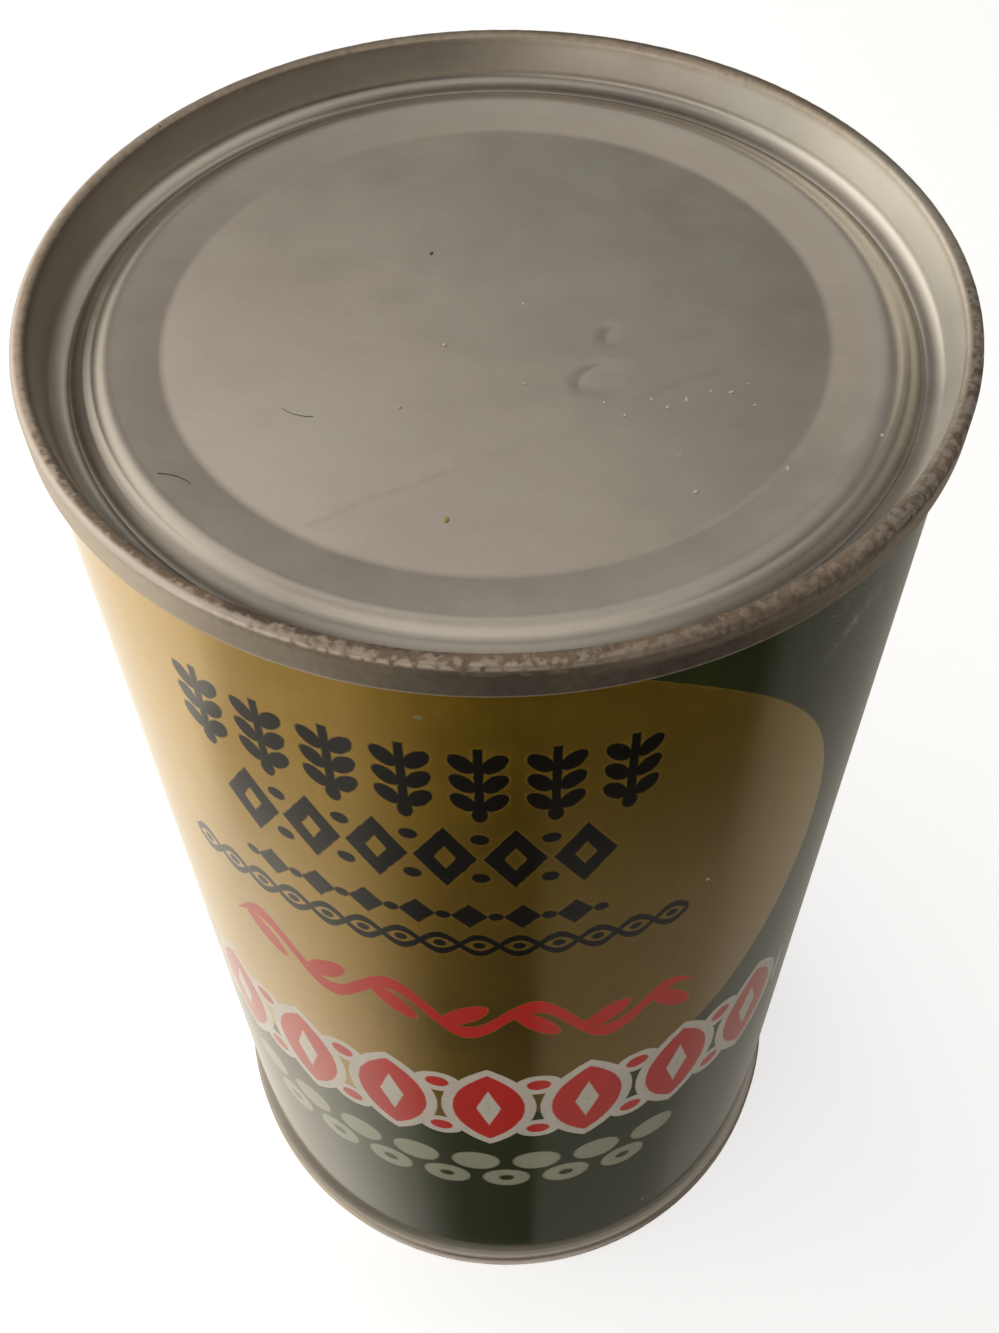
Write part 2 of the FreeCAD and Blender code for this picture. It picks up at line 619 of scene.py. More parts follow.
@dataclass(frozen=True)
class Print:
    """The printed, varnished wall.

    Lengths are millimetres on the flat sheet. The print has two alike faces, and a place on
    a face is its distance to the side of the face's middle and its depth below the upper crest.
    """

    can_height: float
    radius: float
    edge: float = 0.09
    wander: float = 0.16
    speck_share: float = 0.22
    gold: Colour = (0.62, 0.368, 0.032)
    green: Colour = (0.034, 0.043, 0.011)
    red: Colour = (0.70, 0.030, 0.022)
    white: Colour = (0.78, 0.71, 0.60)
    cream: Colour = (0.42, 0.42, 0.30)
    black: Colour = (0.008, 0.006, 0.004)
    dust: Colour = (0.66, 0.59, 0.42)
    field_side: float = -4.9
    field_middle: float = 37.0
    field_half_width: float = 40.7
    field_half_height: float = 38.0
    ears_row: Row = Row(14.0, 5.1, 3.5)
    lozenges_row: Row = Row(23.5, 5.0, 3)
    small_lozenges: Row = Row(32.1, 4.0, 3.4)
    plait_row: Row = Row(36.9, 6.2, 3.5)
    vine_row: Row = Row(50.0, 12.4, 1.75)
    vine_side: float = 2.5
    vine_slant: float = 0.17
    band_row: Row = Row(71.5, 9.6, 4)
    white_edge: float = 1.1
    upper_scallops: Row = Row(86.6, 6.4, 4)
    lower_scallops: Row = Row(91.6, 6.4, 3.5)

    def material(self, specks: Tree, smudges: Tree) -> Material:
        """Builds the wall's material.

        Args:
            specks: The effect that scatters specks.
            smudges: The effect of uneven grime.

        Returns:
            The finished material.
        """
        recipe = Recipe("printed_wall")
        tree = recipe.tree
        turn = recipe.x.math("ARCTAN2", recipe.y * -1)
        along = turn * self.radius
        wander = (recipe.noise(0.8) - 0.5) * self.wander
        u = along.wrapped(math.pi * self.radius) + wander
        depth = recipe.z * -1 + self.can_height + wander

        side, below = u - self.field_side, depth - self.field_middle
        on_gold = self.oval(side, below, self.field_half_width, self.field_half_height).ink(self.edge)
        rows = (self.ears, self.lozenges, self.small_row, self.plait)
        black = functools.reduce(Term.least, [row(u, depth) for row in rows]).ink(self.edge)
        red_band = self.band(u, depth)
        white = red_band.ramp(self.white_edge + self.edge, self.white_edge - self.edge)
        red = red_band.least(self.vine(u, depth)).ink(self.edge)
        cream = self.scallops(u, depth).ink(self.edge * 2)
        ink = black.most(white).most(red).most(cream)

        grime = recipe.effect(smudges, Grain=14.0)
        mottle = recipe.effect(smudges, Grain=2.6)
        dust = recipe.effect(specks, Grain=4.2, Size=0.06, Share=self.speck_share)
        worn = recipe.effect(specks, Grain=2.4, Size=0.048, Share=self.speck_share)
        worn = worn.most(self.marks(along, depth, mottle))
        streaks = recipe.noise(0.7, 2, (1, 1, 60)) - 0.5
        tone = grime * 0.05 + mottle * 0.05 + streaks * 0.12 + 0.97
        colour = mixed(tree, on_gold, self.green, self.gold)
        for mask, paint in ((black, self.black), (cream, self.cream), (white, self.white), (red, self.red)):
            colour = mixed(tree, mask, colour, paint)
        colour = tinted(tree, colour, tone)
        colour = mixed(tree, dust.most(worn), colour, self.dust)
        metal = on_gold * (1 - ink) * (1 - dust)

        recipe.bump(recipe.noise(3.2, 2), 0.35, 0.012)
        recipe.put(Base_Color=colour, Metallic=metal, Roughness=metal * -0.22 + grime * 0.04 + 0.55)
        recipe.put(Specular_IOR_Level=0.05, Coat_Weight=1.0, Coat_Roughness=0.10)
        recipe.put(Anisotropic=0.8, Anisotropic_Rotation=0.25)
        brushed = tree.nodes.new("ShaderNodeTangent")
        brushed.direction_type = "RADIAL"
        brushed.axis = "Z"
        tree.links.new(brushed.outputs[0], recipe.shader.inputs["Tangent"])
        return recipe.material

    @staticmethod
    def oval(x: Term, y: Term, half_width: float, half_height: float) -> Term:
        """Gives the distance from an oval's outline, less than 0 inside."""
        return (length(x / half_width, y / half_height) - 1) * min(half_width, half_height)

    @staticmethod
    def lozenge(x: Term, y: Term, half_width: float, half_height: float) -> Term:
        """Gives the distance from an upright lozenge's outline, less than 0 inside."""
        reach = math.hypot(1 / half_width, 1 / half_height)
        return (x.abs() * (1 / half_width) + y.abs() * (1 / half_height) - 1) * (1 / reach)

    @staticmethod
    def box(x: Term, y: Term, half_width: float, half_height: float) -> Term:
        """Gives the distance from an upright rectangle's outline, less than 0 inside."""
        return (x.abs() - half_width).most(y.abs() - half_height)

    def ears(self, u: Term, depth: Term) -> Term:
        """Draws the first row: ears of grain that hang stem upwards.

        Args:
            u: Distance to the side of the face's middle.
            depth: Depth below the upper crest.

        Returns:
            The distance from the shapes' outlines, less than 0 inside.
        """
        row = self.ears_row
        side, y = u.wrapped(row.pitch).abs(), row.below(depth)
        upright, lean = 0.84, 0.54
        beside, step = side - 1.08, (y + 0.3).wrapped(2.3)
        grains = self.oval(beside * upright + step * lean, beside * -lean + step * upright, 0.76, 1.30)
        grains = grains.most(self.box(side, y + 0.3, 3.0, 3.44))
        tip = self.oval(side, y - 3.6, 0.6, 1.0)
        stem = self.box(side, y + 0.6, 0.36, 3.8)
        return grains.least(tip).least(stem).most(row.ends(u))

    def lozenges(self, u: Term, depth: Term) -> Term:
        """Draws the second row: tall open lozenges with dots between them.

        Args:
            u: Distance to the side of the face's middle.
            depth: Depth below the upper crest.

        Returns:
            The distance from the shapes' outlines, less than 0 inside.
        """
        row = self.lozenges_row
        x, y = (u - row.pitch / 2).wrapped(row.pitch), row.below(depth)
        tall = self.lozenge(x, y, 2.35, 4.2).most(self.lozenge(x, y, 0.75, 1.5) * -1)
        dots = length(x.abs() * -1 + row.pitch / 2, y.abs() - 2.7) - 0.72
        return tall.most(row.ends(u)).least(dots.most(u.abs() - 2.7 * row.pitch))

    def small_row(self, u: Term, depth: Term) -> Term:
        """Draws the third row: small lozenges and dots in turn.

        Args:
            u: Distance to the side of the face's middle.
            depth: Depth below the upper crest.

        Returns:
            The distance from the shapes' outlines, less than 0 inside.
        """
        row = self.small_lozenges
        y = row.below(depth)
        small = self.lozenge(u.wrapped(row.pitch), y, 1.5, 1.95)
        dot = length((u - row.pitch / 2).wrapped(row.pitch), y) - 0.62
        return small.most(row.ends(u)).least(dot.most(u.abs() - 14.9))

    def plait(self, u: Term, depth: Term) -> Term:
        """Draws the fourth row: two crossing waves with a dot in each eye.

        Args:
            u: Distance to the side of the face's middle.
            depth: Depth below the upper crest.

        Returns:
            The distance from the shapes' outlines, less than 0 inside.
        """
        row = self.plait_row
        y, wave = row.below(depth), u.sine(row.pitch) * 1.35
        strands = (y - wave).abs().least((y + wave).abs()) - 0.52
        eye = length((u - row.pitch / 4).wrapped(row.pitch / 2), y) - 0.55
        return strands.least(eye).most(row.ends(u))

    def vine(self, u: Term, depth: Term) -> Term:
        """Draws the red vine, which slants down to one side.

        Args:
            u: Distance to the side of the face's middle.
            depth: Depth below the upper crest.

        Returns:
            The distance from the shapes' outlines, less than 0 inside.
        """
        row = self.vine_row
        y, beside = row.below(depth) - u * self.vine_slant, u - self.vine_side
        wave = u.sine(row.pitch) * 3.1
        thinned = (beside.abs() - 18.0).most(0.0) * 0.2
        stem = (y - wave).abs() * 0.62 - 0.72 + thinned
        place = u - row.pitch / 4
        cell = place.wrapped(row.pitch / 2)
        side = place.wrapped(row.pitch).abs().math("LESS_THAN", row.pitch / 4) * 2 - 1
        leaf_y = y + side * 0.3
        upright, lean = 0.77, 0.64
        leaf_x = cell * upright + leaf_y * lean * side
        leaf = self.oval(leaf_x, leaf_y * upright - cell * lean * side, 1.15, 2.9)
        return stem.least(leaf).most(row.ends(beside))

    def band(self, u: Term, depth: Term) -> Term:
        """Draws the red leaf shapes and beads of the broad band.

        Args:
            u: Distance to the side of the face's middle.
            depth: Depth below the upper crest.

        Returns:
            The distance from the shapes' outlines, less than 0 inside.
        """
        row = self.band_row
        half_width, half_height = 3.5, 8.2
        bow = (half_width**2 + half_height**2) / (2 * half_width)
        x, y = (u - row.pitch / 2).wrapped(row.pitch), row.below(depth)
        leaf = length(x.abs() + (bow - half_width), y) - bow
        open_leaf = leaf.most(self.lozenge(x, y, 1.2, 4.4) * -1)
        beads = length(x.abs() * -1 + row.pitch / 2, y.abs() - 5.6) - 1.15
        return open_leaf.most(row.ends(u)).least(beads.most(u.abs() - 3.5 * row.pitch))

    def scallops(self, u: Term, depth: Term) -> Term:
        """Draws two rows of cream scallops below the band.

        Args:
            u: Distance to the side of the face's middle.
            depth: Depth below the upper crest.

        Returns:
            The distance from the shapes' outlines, less than 0 inside.
        """
        upper, lower = self.upper_scallops, self.lower_scallops
        size, hole = 2.5, 0.8
        full = length((u - upper.pitch / 2).wrapped(upper.pitch), upper.below(depth)) - size
        centre = length(u.wrapped(lower.pitch), lower.below(depth))
        ringed = (centre - size).most((centre - hole) * -1)
        return full.most(upper.ends(u)).least(ringed.most(lower.ends(u)))

    def marks(self, along: Term, depth: Term, mottle: Term) -> Term:
        """Gives the pale speck under the seam and the cloudy scuff on the right.

        Args:
            along: Distance round the wall from its near side.
            depth: Depth below the upper crest.
            mottle: Fine grime, from about -1 to 1.

        Returns:
            The mask of the worn places.
        """
        speck = self.oval(along - 1.5, depth - 6.6, 0.27, 0.19).ink(self.edge)
        tail = self.oval(along - 2.8, depth - 6.0, 0.22, 0.12).ink(self.edge) * 0.3
        scuff = length((along - 33.0) * 0.22, (depth - 9.0) * 0.16).ramp(1.0, 0.2)
        return speck.most(tail).most(scuff * mottle.ramp(-0.1, 0.7) * 0.3)


@dataclass(frozen=True)
class Ring:
    """A ring of an end that fades in and out. Lengths are millimetres from the axis."""

    start: float
    full: float
    fading: float
    end: float

    def mask(self, radius: Term) -> Term:
        """Gives 1 on the ring and 0 off it."""
        return radius.ramp(self.start, self.full) * radius.ramp(self.end, self.fading)


@dataclass(frozen=True)
class Crease:
    """A soft crease in an end, shown only as a line of painted shade. Lengths are millimetres."""

    start: Point
    end: Point
    half_width: float
    share: float = 1.0


@dataclass(frozen=True)
class HollowShading:
    """Painted shade along a hollow's steep side and a painted highlight beyond it. Lengths are millimetres.
    """

    x: float
    y: float
    skew: float
    half_width: float
    fade: float

    def tone(self, recipe: Recipe) -> Term:
        """Gives what the tone changes by.

        Args:
            recipe: The material.

        Returns:
            Less than 0 where shade is painted and more than 0 where a highlight is painted.
        """
        aside = recipe.y - self.y
        along = recipe.x - self.x - aside * (aside * 0.3 + self.skew)
        across = aside.abs().ramp(self.half_width, self.half_width * 0.45)
        # Painted shade along the steep side, then a painted highlight beyond it.
        grime = along.ramp(-0.9, 0.1) * along.ramp(0.6, 0.2)
        painted_highlight = along.ramp(0.2, 0.6) * along.ramp(self.fade, 1.0)
        return (painted_highlight * 0.08 - grime * 0.22) * across


@dataclass(frozen=True)
class Tinplate:
    """Bare tinplate, dulled with age, with rust along the crest of the seam.

    Lengths are millimetres. A side of an end runs across from -1 on the left to 1 on the
    right, and away from -1 on the near side to 1 on the far side.
    """

    can_height: float
    metal: Colour = (0.63, 0.562, 0.475)
    cool_metal: Colour = (0.575, 0.555, 0.455)
    pressed_metal: Colour = (0.635, 0.578, 0.492)
    # Painted light: the paler, cooler metal of the chuck wall's lit right side.
    painted_lit_metal: Colour = (0.62, 0.61, 0.545)
    rust: Colour = (0.215, 0.150, 0.094)
    old_rust: Colour = (0.095, 0.066, 0.044)
    stained_metal: Colour = (0.30, 0.208, 0.122)
    dust: Colour = (0.66, 0.61, 0.53)
    crest_inner: float = 33.0
    crest_outer: float = 34.15
    heavy_side: float = 68.0
    near_side: float = 8.0
    groove: float = 4.0
    disc_radius: float = 23.9
    dust_share: float = 0.7
    cone: Ring = Ring(23.9, 24.6, 28.0, 28.8)
    shoulder: Ring = Ring(27.6, 28.3, 29.6, 30.2)
    rise: Ring = Ring(29.3, 29.9, 30.6, 31.1)
    corner: Ring = Ring(30.7, 31.2, 32.1, 32.35)
    chuck: Ring = Ring(31.8, 32.3, 32.8, 33.1)
    pressed: Ring = Ring(26.0, 27.0, 32.8, 33.2)
    creases: tuple[Crease, ...] = (
        Crease((-11.5, -24.0), (0.5, -15.1), 0.45),
        Crease((2.0, -13.2), (5.4, -10.2), 0.5, 0.5),
        Crease((11.2, -6.2), (16.6, -2.1), 0.5),
    )
    painted_hollow_shading: tuple[HollowShading, ...] = (
        HollowShading(x=6.6, y=-4.5, skew=0.35, half_width=1.9, fade=4.6),
        HollowShading(x=7.7, y=0.2, skew=0.1, half_width=1.1, fade=1.8),
    )

    def material(self, specks: Tree, smudges: Tree) -> Material:
        """Builds the material of both ends.

        Args:
            specks: The effect that scatters specks.
            smudges: The effect of uneven grime.

        Returns:
            The finished material.
        """
        recipe = Recipe("tinplate")
        tree = recipe.tree
        radius = length(recipe.x, recipe.y)
        depth = recipe.z.least(recipe.z * -1 + self.can_height)
        across, away = recipe.x / radius, recipe.y / radius

        grime = recipe.effect(smudges, Grain=17.0)
        film = recipe.effect(smudges, Grain=4.0)
        rolled = recipe.noise(0.35, 1, (60, 1, 1)) - 0.5
        blotch = recipe.noise(0.6, 3)
        crest = radius.ramp(self.crest_inner - 0.35, self.crest_inner + 0.1) * depth.ramp(1.1, 0.3)
        spots = recipe.effect(specks, Grain=1.5, Size=0.13, Share=0.14)
        spots = spots * radius.ramp(self.crest_inner, self.crest_inner + 0.3) * depth.ramp(3.2, 0.6)
        rust = self.rusted(recipe, radius, depth, across, blotch, crest).most(spots * 0.8)
        veer = (recipe.noise(5.0, 1) - 0.5) * 1.6
        drawn = [
            recipe.crease_line(crease.start, crease.end, crease.half_width, veer) * crease.share
            for crease in self.creases
        ]
        # Painted shade: the creases are only darker lines in the tone.
        painted_crease_shade = functools.reduce(Term.most, drawn) * radius.ramp(23.6, 23.2)
        chuck = self.chuck.mask(radius) * depth.ramp(0.2, 0.6)

        tone = grime * 0.08 + film * 0.045 + rolled * 0.05 - painted_crease_shade * 0.07 - crest * 0.03 + 0.98
        # Darker at the groove's floor.
        tone = tone - depth.ramp(self.groove - 0.5, self.groove - 0.05) * 0.36
        # Painted light and shade on the chuck wall: darker up to the middle, much brighter towards the
        # right, a little brighter at the far left.
        tone = tone + chuck * (across.ramp(0.17, 0.98, -0.18, 0.56) + across.ramp(-0.85, -1.0, 0, 0.12))
        # Painted shade and painted reflections on the pressed rings.
        tone = tone + self.shading(recipe, radius, across, away)
        # Painted shade and painted highlights at the hollows.
        for hollow_shading_mark in self.painted_hollow_shading:
            tone = tone + hollow_shading_mark.tone(recipe)

        worn = crest * across.ramp(0.6, 0.95, 0.75, 0.1) * (blotch * 0.9 + 0.35).least(1.0)
        worn = worn * radius.ramp(33.95, 33.6).most(across.ramp(-0.4, -0.1))
        # Browner and darker on the seam's outer side, in blotches, more so towards the right.
        seam_side_darkening = radius.ramp(33.85, 34.05) * depth.ramp(0.3, 0.6) * across.ramp(-0.55, 0.6, 0.4, 1.0)
        colour = mixed(tree, (grime + recipe.y * 0.01).ramp(-0.1, 0.8), self.metal, self.cool_metal)
        for mask, paint in (
            (self.pressed.mask(radius), self.pressed_metal),
            # Painted light: the chuck wall's right side turns to the paler metal.
            (chuck * across.ramp(0.1, 0.6), self.painted_lit_metal),
            (worn, self.stained_metal),
            (seam_side_darkening * (blotch * 0.8 + 0.2), self.stained_metal),
        ):
            colour = mixed(tree, mask, colour, paint)
        dust = recipe.effect(specks, Grain=2.2, Size=0.060, Share=0.26)
        dusted = dust * self.dust_share
        colour = mixed(tree, dusted, tinted(tree, colour, tone), self.dust)
        shade = (film * 0.7 + blotch - depth * 0.35).ramp(0.25, 0.7)
        colour = mixed(tree, rust, colour, mixed(tree, shade, self.old_rust, self.rust))

        hem = depth.ramp(2.72, 2.95) * radius.ramp(33.5, 33.75) * depth.ramp(3.3, 3.2)
        hazed = chuck * across.ramp(0.6, 0.97) * 0.3
        dull = rust.most(dusted).most(hem * 0.7).most(hazed)
        rough = grime * 0.04 + film * 0.03 + rust * 0.3 + crest * 0.06 + dust * 0.3 + 0.40
        recipe.bump(blotch * crest, 0.3, 0.035)
        recipe.put(Base_Color=colour, Metallic=1 - dull, Roughness=rough)
        return recipe.material

    def rusted(
        self, recipe: Recipe, radius: Term, depth: Term, across: Term, blotch: Term, crest: Term
    ) -> Term:
        """Gives the rust of the seam, which differs round the can.

        The near side is blotched along the crest's inner edge, the right is brown across the
        crest, and the far side is clean.

        Args:
            recipe: The material.
            radius: Distance from the axis.
            depth: Depth below the nearer crest.
            across: From -1 on the left to 1 on the right.
            blotch: A noise from about 0 to 1.
            crest: The mask of the crest.

        Returns:
            The mask of rust.
        """
        near, heavy = (
            (recipe.x * math.sin(turn) - recipe.y * math.cos(turn)) / radius
            for turn in (math.radians(self.near_side), math.radians(self.heavy_side))
        )
        outwards = radius.ramp(self.crest_inner, self.crest_outer - 0.1, 0.12, -0.09)
        patches = (blotch + outwards + near.ramp(0.0, 0.75, -0.32, 0.03)).ramp(0.42, 0.62)
        patches = patches * crest * near.ramp(0.35, 0.9, 0.5, 0.95)
        patches = patches * radius.ramp(33.8, 33.5).most(across.ramp(-0.4, 0))
        brown = heavy.ramp(0.60, 0.9) * blotch.ramp(0.40, 0.60, 0.40, 0.95)
        brown = brown * radius.ramp(self.crest_inner + 0.15, self.crest_inner + 0.4) * depth.ramp(1.6, 0.7)
        return patches.most(brown)

    def shading(self, recipe: Recipe, radius: Term, across: Term, away: Term) -> Term:
        """Gives painted shade and painted reflections on the pressed rings, which differ round the can.

        Args:
            recipe: The material.
            radius: Distance from the axis.
            across: From -1 on the left to 1 on the right.
            away: From -1 on the near side to 1 on the far side.

        Returns:
            What the tone changes by.
        """
        # Each ring is painted lighter or darker by its side of the can, in place of shade and reflections.
        disc = radius.ramp(self.disc_radius + 0.5, self.disc_radius) * recipe.x.abs().ramp(8.0, 23.0)
        corner_painted_light = across.ramp(-0.9, -0.4, 0.32, -0.3) + across.ramp(0.3, 0.9, 0.0, 0.15)
        return (
            disc * -0.15
            + self.cone.mask(radius) * (across * 0.20 - 0.04)
            + self.shoulder.mask(radius) * across.abs() * -0.22
            + self.rise.mask(radius) * away.ramp(-0.2, 0.7, -0.36, 0.1)
            + self.corner.mask(radius) * corner_painted_light
        )


@dataclass(frozen=True)
class Fleck:
    """The dull finish of dust, crumbs and hairs."""

    name: str
    colour: Colour
    other: Colour
    roughness: float = 0.8

    def material(self) -> Material:
        """Builds the finish, mottled with its other colour.

        Returns:
            The finished material.
        """
        recipe = Recipe(self.name)
        mottled = mixed(recipe.tree, recipe.noise(0.15, 3), self.colour, self.other)
        recipe.put(Base_Color=mottled, Roughness=self.roughness)
        recipe.bump(recipe.noise(0.08, 2), 0.4, 0.02)
        return recipe.material


# ---------------------------------------------------------------- the pieces


class Dressed:
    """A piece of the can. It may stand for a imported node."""

    node: str = ""
    slot: str = ""

    def dress(self, piece: Piece, material: Material) -> None:
        """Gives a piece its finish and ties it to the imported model.

        Args:
            piece: The finished mesh.
            material: Its material.
        """
        piece.data.materials.clear()
        piece.data.materials.append(material)
        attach(piece, BODY)
        if self.node:
            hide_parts(self.node)
        low, high = piece.bound_box[0], piece.bound_box[6]
        size = ", ".join(f"{(b - a) / MM:.1f}" for a, b in zip(low, high))
        log.info("%s: %d faces, %s mm", piece.name, len(piece.data.polygons), size)


class Facing(Enum):
    """Which way an end faces, as the sign of a step from its crest into the can."""

    UP = -1
    DOWN = 1


@dataclass
class EndPlate(Dressed):
    """One pressed end with its seam. Lengths are metres; depths run from the crest."""

    name: str
    crest: float
    facing: Facing
    seam_radius: float
    wall_radius: float
    node: str = ""
    slot: str = "tinplate"
    dents: tuple["Dent", ...] = ()
    tuck: float = 0.1 * MM
    seam_height: float = 3.1 * MM
    seam_thickness: float = 1.15 * MM
    crest_radius: float = 0.45 * MM
    hem_radius: float = 0.3 * MM
    sheet: float = 0.3 * MM
    wall_lean: float = 1.0 * MM
    groove_clearance: float = 0.9 * MM
    groove_floor: float = 1.3 * MM
    groove_radius: float = 0.5 * MM
    groove_outer_radius: float = 1.4 * MM
    rise_width: float = 1.6 * MM
    shoulder_rise: float = 1.05 * MM
    shoulder_radius: float = 1.9 * MM
    cone_width: float = 4.75 * MM
    cone_drop: float = 0.55 * MM
    cone_foot_radius: float = 0.8 * MM
    turns: int = 640
    fine_step: float = 0.26 * MM
    disc_step: float = 0.36 * MM
    merge: float = 0.001 * MM
    crest_sides: float = 0.3 * MM
    crest_depth: float = 1.1 * MM
    rust_height: float = 0.05 * MM
    rust_grain: float = 0.8 * MM
    sharp: float = 50.0

    def shown_corners(self) -> list[Corner]:
        """Gives the corners of the outer side, from the seam's lower edge to the centre.

        Returns:
            Each corner's radius, depth and rounding.
        """
        top = self.seam_radius - self.seam_thickness
        groove = self.seam_height + self.groove_clearance
        shoulder = groove - self.shoulder_rise
        outer = top - self.wall_lean
        inner = outer - self.groove_floor
        ring = inner - self.rise_width
        foot = ring - self.cone_width
        middle = shoulder + self.cone_drop
        return [
            (self.wall_radius - self.tuck, self.seam_height, 0),
            (self.seam_radius, self.seam_height, self.hem_radius),
            (self.seam_radius, 0, self.crest_radius),
            (top, 0, self.crest_radius),
            (outer, groove, self.groove_outer_radius),
            (inner, groove, self.groove_radius),
            (ring, shoulder, self.shoulder_radius),
            (foot, middle, self.cone_foot_radius),
            (0, middle, 0),
        ]

    def level_at(self, radius: float) -> float:
        """Gives the depth of the shown surface at a radius inside the groove.

        Args:
            radius: Distance from the axis.

        Returns:
            The depth below the crest.
        """
        line = rounded_line(self.shown_corners(), self.disc_step)
        inside = self.seam_radius - self.seam_thickness - self.wall_lean - self.groove_floor
        for (outer, above), (inner, below) in itertools.pairwise(line):
            if inner <= radius < outer < inside:
                return above + (below - above) * (outer - radius) / (outer - inner)
        return self.shown_corners()[-1][1]

    def lie(self, x: float, y: float) -> Vector:
        """Gives the point of the shown surface at a place in millimetres."""
        depth = self.level_at(math.hypot(x, y) * MM)
        return Vector((x * MM, y * MM, self.crest + self.facing.value * depth))

    def outline(self) -> list[Point]:
        """Gives the closed outline of the seam and the sheet.

        Returns:
            Each point's radius and depth.
        """
        corners = self.shown_corners()
        shown = rounded_line(corners[:-1], self.fine_step)
        straight_walk(shown, corners[-1][:2], self.disc_step)
        under = [(radius, depth + self.sheet) for radius, depth, _ in corners[:3:-1]]
        under[-1] = (under[-1][0] + self.sheet, under[-1][1])
        return shown + under + [(under[-1][0] + self.sheet / 2, self.seam_height)]

    def build(self) -> Piece:
        """Spins the outline into a closed shell, then rusts and dents it.

        Returns:
            The new object.
        """
        outline = self.outline()
        Bench.clear()
        bpy.ops.mesh.primitive_circle_add(vertices=len(outline), radius=self.seam_radius)
        piece = Bench.named(self.name)
        for vert, (radius, depth) in zip(piece.data.vertices, outline):
            vert.co = (radius, 0, self.crest + self.facing.value * depth)
        bpy.ops.object.mode_set(mode="EDIT")
        bpy.ops.mesh.select_all(action="SELECT")
        bpy.ops.mesh.spin(steps=self.turns, angle=math.tau, center=(0, 0, 0), axis=(0, 0, 1))
        bpy.ops.mesh.select_all(action="SELECT")
        bpy.ops.mesh.remove_doubles(threshold=self.merge)
        Bench.face_out()
        Bench.settle(piece)
        self.corrode(piece)
        inside_sheet = self.crest - self.shown_corners()[-1][1] - self.sheet / 2
        for dent in self.dents:
            dent.press(piece, inside_sheet)
        Bench.smooth(piece, self.sharp)
        return piece

    def corrode(self, piece: Piece) -> None:
        """Roughens the crest of the seam, where it has rusted.

        Args:
            piece: The spun end.
        """
        inner = self.seam_radius - self.seam_thickness - self.crest_sides

        def weight(place: Vector) -> float:
            """Weighs the crest fully and lets go of it down the seam's sides."""
            share = 1 - abs(place.z - self.crest) / self.crest_depth
            return max(0.0, share) if place.xy.length >= inner else 0.0

        Bench.weigh(piece, "crest", weight)
        Bench.displace(piece, "crest", self.rust_height, self.rust_grain)


@dataclass(frozen=True)
class Dent:
    """A shallow hollow in a level sheet, steep on its left. Lengths are millimetres."""

    name: str
    x: float
    y: float
    depth: float
    steep: float
    gentle: float
    half_width: float
    skew: float = 0.0
    level: float = 0.35

    def share(self, place: Vector) -> float:
        """Gives how much of the hollow's depth a place has.

        Args:
            place: A place on the sheet, in metres.

        Returns:
            From 0 outside the hollow to 1 at its deepest.
        """
        aside = place.y / MM - self.y
        along = place.x / MM - self.x - self.skew * aside
        across = (abs(aside) / self.half_width - self.level) / (1 - self.level)
        rise = 1 - eased((along - self.steep) / self.gentle)
        return eased(along / self.steep) * rise * (1 - eased(across))

    def press(self, piece: Piece, lowest: float) -> None:
        """Presses the hollow into all of a sheet that lies above a height."""
        Bench.weigh(piece, self.name, lambda place: self.share(place) if place.z > lowest else 0.0)
        Bench.sink(piece, self.name, self.depth * MM)


DENTS = (
    Dent("nick", x=6.4, y=-4.4, depth=0.050, steep=1.0, gentle=4.2, half_width=2.4, skew=0.45),
    Dent("dimple", x=6.9, y=0.2, depth=0.018, steep=1.1, gentle=1.7, half_width=1.6),
)


@dataclass
class Wall(Dressed):
    """The straight printed wall. Lengths are metres."""

    low: float
    high: float
    radius: float
    node: str = "can_body"
    slot: str = "printed_wall"
    facets: int = 360
    rings: int = 58
    recess: float = 1.4 * MM
    rim: float = 0.8 * MM
    play: float = 0.01 * MM
    sharp: float = 50.0

    def build(self) -> Piece:
        """Makes the wall as a closed drum whose ends lie below the pressed sheets.

        Returns:
            The new object.
        """
        Bench.clear()
        bpy.ops.mesh.primitive_cylinder_add(
            vertices=self.facets,
            radius=self.radius,
            depth=self.high - self.low,
            location=(0, 0, (self.low + self.high) / 2),
        )
        piece = Bench.named("printed_wall")
        Bench.settle(piece)
        bpy.ops.object.mode_set(mode="EDIT")
        for end, way in ((self.low, 1), (self.high, -1)):
            Bench.pick_faces(piece, lambda place: abs(place.z - end) < self.play)
            bpy.ops.mesh.inset(thickness=self.rim)
            bpy.ops.transform.translate(value=(0, 0, way * self.recess))
        Bench.clear()
        Bench.smooth(piece, self.sharp)
        return piece


